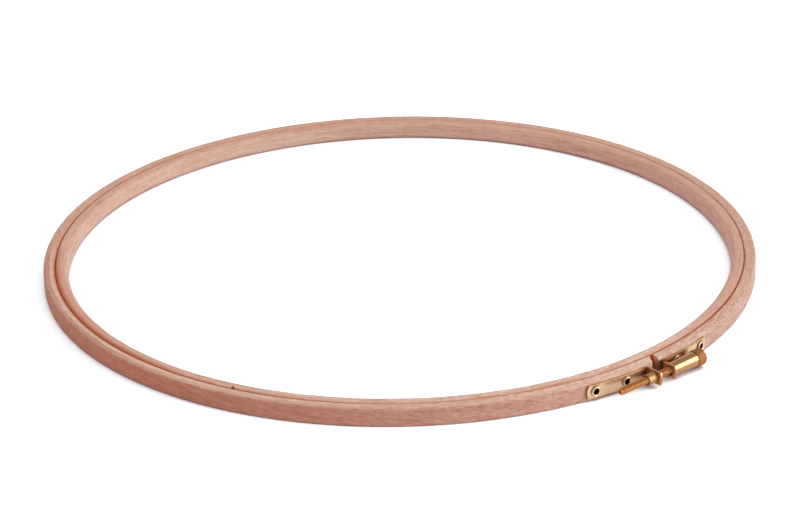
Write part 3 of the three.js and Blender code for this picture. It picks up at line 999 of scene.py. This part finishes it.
def brass(name, colour, worn, roughness, mark_depth):
    """Brass: fine marks left by rolling or turning, faint duller patches, and painted shade in its
    recesses.

    The marks are lines of equal "across". The painted shade is the dark mark that the pieces give, and a
    bracket's bent mark darkens its ear and the strip near the bend with painted shade. A strip also has a
    dark line just below its top edge.
    """
    material = bpy.data.materials.new(name)
    paint = Paint(material)
    place = paint.node("ShaderNodeTexCoord", {}, {}, "Object")
    below_top = screw_z + strip_width / 2 - paint.part(place, "Z")
    across, dull, strip = map(paint.attribute, ("across", "dull", "strip"))
    line_place = paint.node("ShaderNodeCombineXYZ", {}, {"X": across * (1 / 0.09)})
    line_place = paint.vector_math("ADD", line_place, paint.scaled(place, 5 * MM, 5 * MM, 5 * MM))
    lines = paint.noise(line_place, 3, 0.6)
    patches = paint.noise(paint.scaled(place, 2.6 * MM, 2.6 * MM, 2.6 * MM), 2, 0.55)
    edge_line = paint.rise(below_top, 0.6 * MM, 0.4 * MM) * paint.rise(below_top, 0.1 * MM, 0.2 * MM)
    edge_line = edge_line * strip * paint.rise(patches, 0.3, 0.55)
    # Painted shade that the pieces mark as dark, and the dark line below a strip's top edge
    dark = paint.attribute("dark") + edge_line * 0.7
    colour = paint.mix(paint.rise(patches, 0.4, 0.75) * 0.5, colour, worn)
    colour = paint.mix(paint.rise(lines, 0.5, 0.75) * 0.3, colour, worn)
    colour = paint.tint(dull, colour, (0.72, 0.60, 0.54))
    top_edge = paint.rise(below_top, 0.08 * MM, 0.03 * MM) * strip
    colour = paint.tint(top_edge, colour, (1.0, 0.84, 0.56))
    # Painted shade on a bracket's ear and near its bend
    colour = paint.tint(paint.attribute("bent"), colour, (0.62, 0.34, 0.16))
    principled(
        paint,
        {
            "Base Color": paint.mix(dark, colour, (0.07, 0.02, 0.006)),
            "Metallic": 1.0,
            "Roughness": roughness - 0.04 + 0.08 * lines + 0.08 * patches + 0.5 * dull + 0.3 * dark,
            "Normal": paint.bump(lines, mark_depth * MM),
        },
    )
    return material


# Scene


def floor():
    """The pale floor, a wide flat sheet just under the hoop, paler for the camera and in reflections.

    Where something stands close over it, the camera sees it darker, so that the contact shadows are firm.
    """
    corners = floor_reach * np.array([(-1, -1, 0), (1, -1, 0), (1, 1, 0), (-1, 1, 0)])
    mesh = bpy.data.meshes.new("floor")
    mesh.from_pydata(corners + (0, 0, floor_height), [], [(0, 1, 2, 3)])
    sheet = add_object("floor", mesh)
    material = bpy.data.materials.new("floor")
    paint = Paint(material)
    camera_ray, glossy_ray = paint.ray("Camera"), paint.ray("Glossy")
    colour = paint.tint(camera_ray, floor_colour, camera_gain)
    settings, reach = {"samples": 12}, {"Distance": shadow_reach}
    open_share = paint.node("ShaderNodeAmbientOcclusion", settings, reach, "AO")
    covered = paint.rise(open_share, 0.7, 0.25) * camera_ray
    colour = paint.tint(covered, colour, covered_gain)
    colour = paint.tint(glossy_ray, colour, reflection_gain)
    paint.surface(paint.node("ShaderNodeBsdfDiffuse", {}, {"Color": colour}))
    mesh.materials.append(material)


def backdrop():
    """The world: white for the camera, a soft light, and in reflections white low down and grey above."""
    world = bpy.data.worlds.new("studio")
    bpy.context.scene.world = world
    paint = Paint(world)
    camera_ray, glossy_ray = paint.ray("Camera"), paint.ray("Glossy")
    up = paint.part(paint.node("ShaderNodeTexCoord", {}, {}, "Generated"), "Z")
    reflected = paint.mix(paint.rise(up, 0.1, 0.75), (1, 1, 1), reflected_sky)
    colour = paint.mix(glossy_ray, diffuse_sky, reflected)
    colour = paint.mix(camera_ray, colour, (1, 1, 1))
    light = paint.node("ShaderNodeBackground", {}, {"Color": colour, "Strength": 1.0})
    paint.node("ShaderNodeOutputWorld", {}, {"Surface": light})


def lamp():
    """A square soft lamp that looks at the hoop."""
    light = bpy.data.lights.new("key", "AREA")
    light.size = lamp_size
    light.energy = lamp_power
    holder = add_object("key", light)
    back = direction(lamp_azimuth, lamp_elevation)
    holder.location = back * lamp_distance
    holder.rotation_euler = back.to_track_quat("Z", "Y").to_euler()


def direction(azimuth, elevation):
    """The unit vector towards an azimuth, from the front and positive to the right, and an elevation."""
    a, e = math.radians(azimuth), math.radians(elevation)
    return Vector((math.sin(a) * math.cos(e), -math.cos(a) * math.cos(e), math.sin(e)))


def camera():
    """The photograph's camera: where it stands round the point that it looks at, and its slight roll."""
    back = direction(camera_azimuth, camera_elevation)
    data = bpy.data.cameras.new("camera")
    data.sensor_width = 36
    data.lens = camera_lens
    data.clip_end = 50
    holder = add_object("camera", data)
    roll = Matrix.Rotation(math.radians(camera_roll), 4, "Z")
    turn = back.to_track_quat("Z", "Y").to_matrix().to_4x4() @ roll
    holder.matrix_world = Matrix.Translation(camera_aim + back * camera_distance) @ turn
    bpy.context.scene.camera = holder


def build():
    """Every piece with its material, the body that it moves with, and the CAD nodes that it stands for."""
    warm, pale, red = (0.62, 0.34, 0.24), (0.70, 0.415, 0.31), (0.48, 0.21, 0.12)
    outer_wood = beech("beech_outer", warm, pale, red, 0.1, 1, (1.2, 0.6), (0.9, 0.5))
    warm, pale, red = (0.625, 0.335, 0.24), (0.70, 0.405, 0.305), (0.49, 0.21, 0.12)
    inner_wood = beech("beech_inner", warm, pale, red, 0.02, -1, (2.5, 0.6), (0.7, 0.2))
    sheet_brass = brass("brass_sheet", (0.87, 0.65, 0.43), (0.78, 0.53, 0.30), 0.3, 0.004)
    turned_brass = brass("brass_turned", (0.63, 0.35, 0.165), (0.52, 0.275, 0.115), 0.18, 0.003)
    boss_brass = brass("brass_boss", (0.54, 0.315, 0.155), (0.45, 0.24, 0.11), 0.46, 0.004)
    thread_brass = brass("brass_thread", (0.78, 0.36, 0.12), (0.52, 0.20, 0.06), 0.2, 0.003)

    split = outer_ring()
    finish_piece(split, outer_wood)
    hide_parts("outer_ring_right", "outer_ring_left")
    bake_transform(split)

    closed = inner_ring()
    finish_piece(closed, inner_wood)
    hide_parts("inner_ring")
    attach(closed, "inner")

    for side, word in ((1, "right"), (-1, "left")):
        sheet = bracket(f"brass_{word}_bracket", side)
        finish_piece(sheet, sheet_brass)
        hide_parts(f"{word}_bracket")
        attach(sheet, f"outer_{word}")
        for place in ("inner", "outer"):
            cad_name = f"eyelet_{word}_{place}"
            tube = rivet(cad_name)
            finish_piece(tube, sheet_brass)
            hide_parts(cad_name)
            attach(tube, f"outer_{word}")

    nut = boss()
    finish_piece(nut, boss_brass)
    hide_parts("threaded_boss")
    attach(nut, "outer_left")
    thread = rod()
    finish_piece(thread, thread_brass, sharp_angle=60)
    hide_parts("screw_rod")
    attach(thread, "screw")
    handle = knob()
    finish_piece(handle, turned_brass)
    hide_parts("screw_knob")
    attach(handle, "screw")


camera()
floor()
backdrop()
lamp()
build()

bpy.context.scene.view_settings.view_transform = "Standard"
